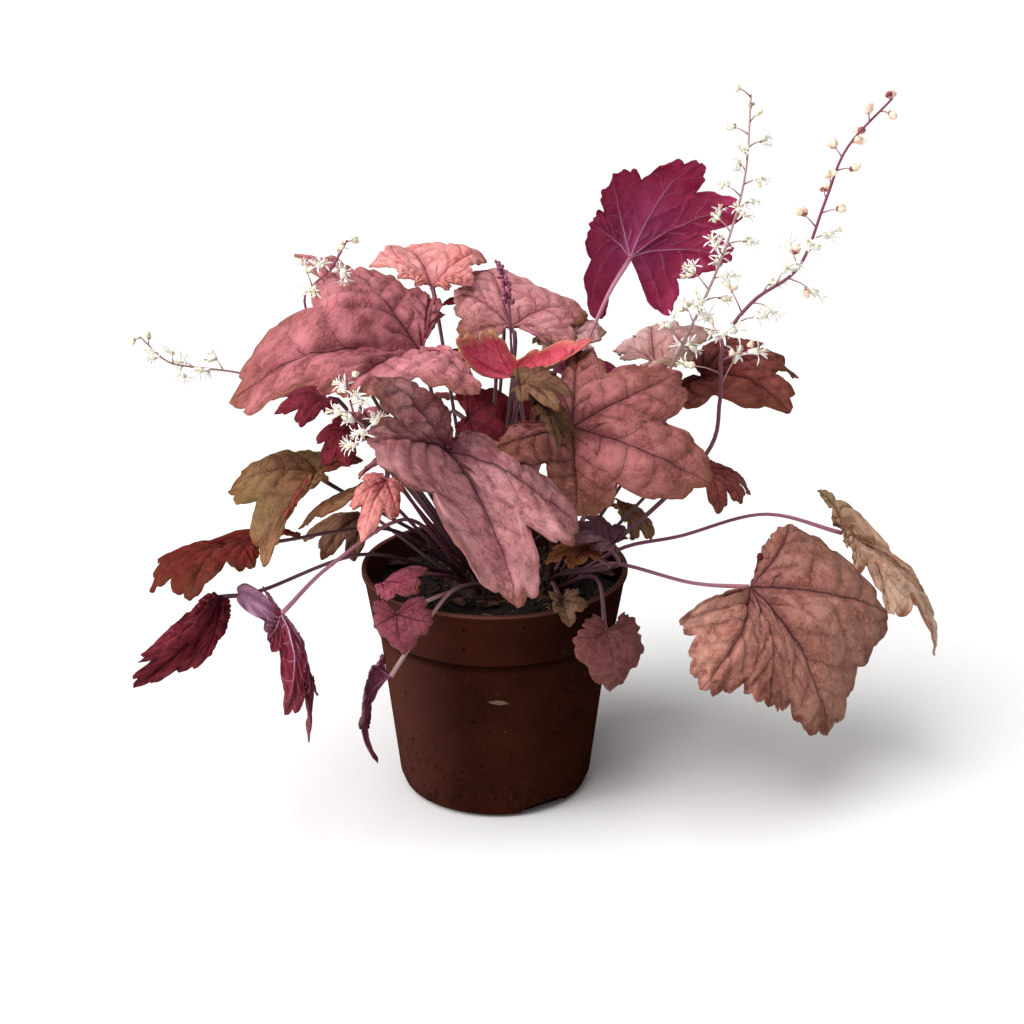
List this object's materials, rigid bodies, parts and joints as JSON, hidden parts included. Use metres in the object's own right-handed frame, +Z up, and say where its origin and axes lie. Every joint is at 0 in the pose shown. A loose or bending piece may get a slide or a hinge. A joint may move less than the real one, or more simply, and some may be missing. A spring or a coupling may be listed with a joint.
{
  "type": "potted heuchera plant",
  "caption": "Coral bells plant with lobed rose and crimson leaves on long stalks and slim cream flower sprays, in a round tapered plastic nursery pot.",
  "frame": {"origin": "centre of the pot's underside", "axes": "+Z up; -Y the side of the plant that faces the viewer; +X to the viewer's right"},
  "size_m": [0.3989, 0.2299, 0.3424],
  "materials": {
    "leaf_rose": "soft satin leaf, dusty rose",
    "leaf_dusk": "soft satin leaf, greyish purple-pink",
    "leaf_crimson": "satin leaf, deep crimson",
    "leaf_olive": "soft satin leaf, olive turning tan",
    "leaf_tan": "dry matt leaf, tan",
    "leaf_plum": "satin leaf, dark plum",
    "spray": "matt petals, cream, on thin pinkish stems",
    "pot": "matt moulded plastic, dark reddish brown",
    "soil": "crumbly damp potting mix, very dark brown",
    "rootstock": "rough woody crown, brown"
  },
  "bodies": {
    "root": {"leaf_front": "leaf_dusk", "leaf_right_large": "leaf_rose", "leaf_left_large": "leaf_rose", "leaf_top_back": "leaf_rose", "leaf_top_left": "leaf_crimson", "leaf_centre_back": "leaf_dusk", "leaf_cup": "leaf_crimson", "leaf_crimson": "leaf_crimson", "leaf_behind_cup": "leaf_olive", "leaf_right_back": "leaf_olive", "leaf_right_red": "leaf_crimson", "leaf_right_small": "leaf_crimson", "leaf_far_right": "leaf_rose", "leaf_dry_right": "leaf_tan", "leaf_olive_left": "leaf_olive", "leaf_coral": "leaf_crimson", "leaf_narrow": "leaf_tan", "leaf_olive_low": "leaf_olive", "leaf_far_left": "leaf_crimson", "leaf_far_left_low": "leaf_crimson", "leaf_magenta": "leaf_crimson", "leaf_pot_left_curl": "leaf_plum", "leaf_pot_left_in": "leaf_rose", "leaf_pot_left_out": "leaf_plum", "leaf_pot_right_out": "leaf_rose", "leaf_dry_rim": "leaf_tan", "leaf_olive_back": "leaf_olive", "leaf_purple_mid": "leaf_plum", "leaf_amber_mid": "leaf_tan", "leaf_red_mid": "leaf_crimson", "leaf_left_red_a": "leaf_crimson", "leaf_left_red_b": "leaf_crimson", "leaf_dry_mid": "leaf_tan", "leaf_olive_mid": "leaf_olive", "leaf_dark_mid": "leaf_plum", "leaf_tip_mid": "leaf_crimson", "leaf_young": "leaf_plum", "leaf_heart": "leaf_crimson", "leaf_back_1": "leaf_rose", "leaf_back_2": "leaf_crimson", "leaf_back_3": "leaf_dusk", "leaf_back_4": "leaf_rose", "leaf_back_5": "leaf_crimson", "leaf_back_6": "leaf_dusk", "spray_tall": "spray", "spray_arching": "spray", "spray_upper_left": "spray", "spray_far_left": "spray", "spray_mid_left": "spray", "spray_bud": "spray", "pot": "pot", "soil": "soil", "rootstock": "rootstock"}
  },
  "joints": []
}
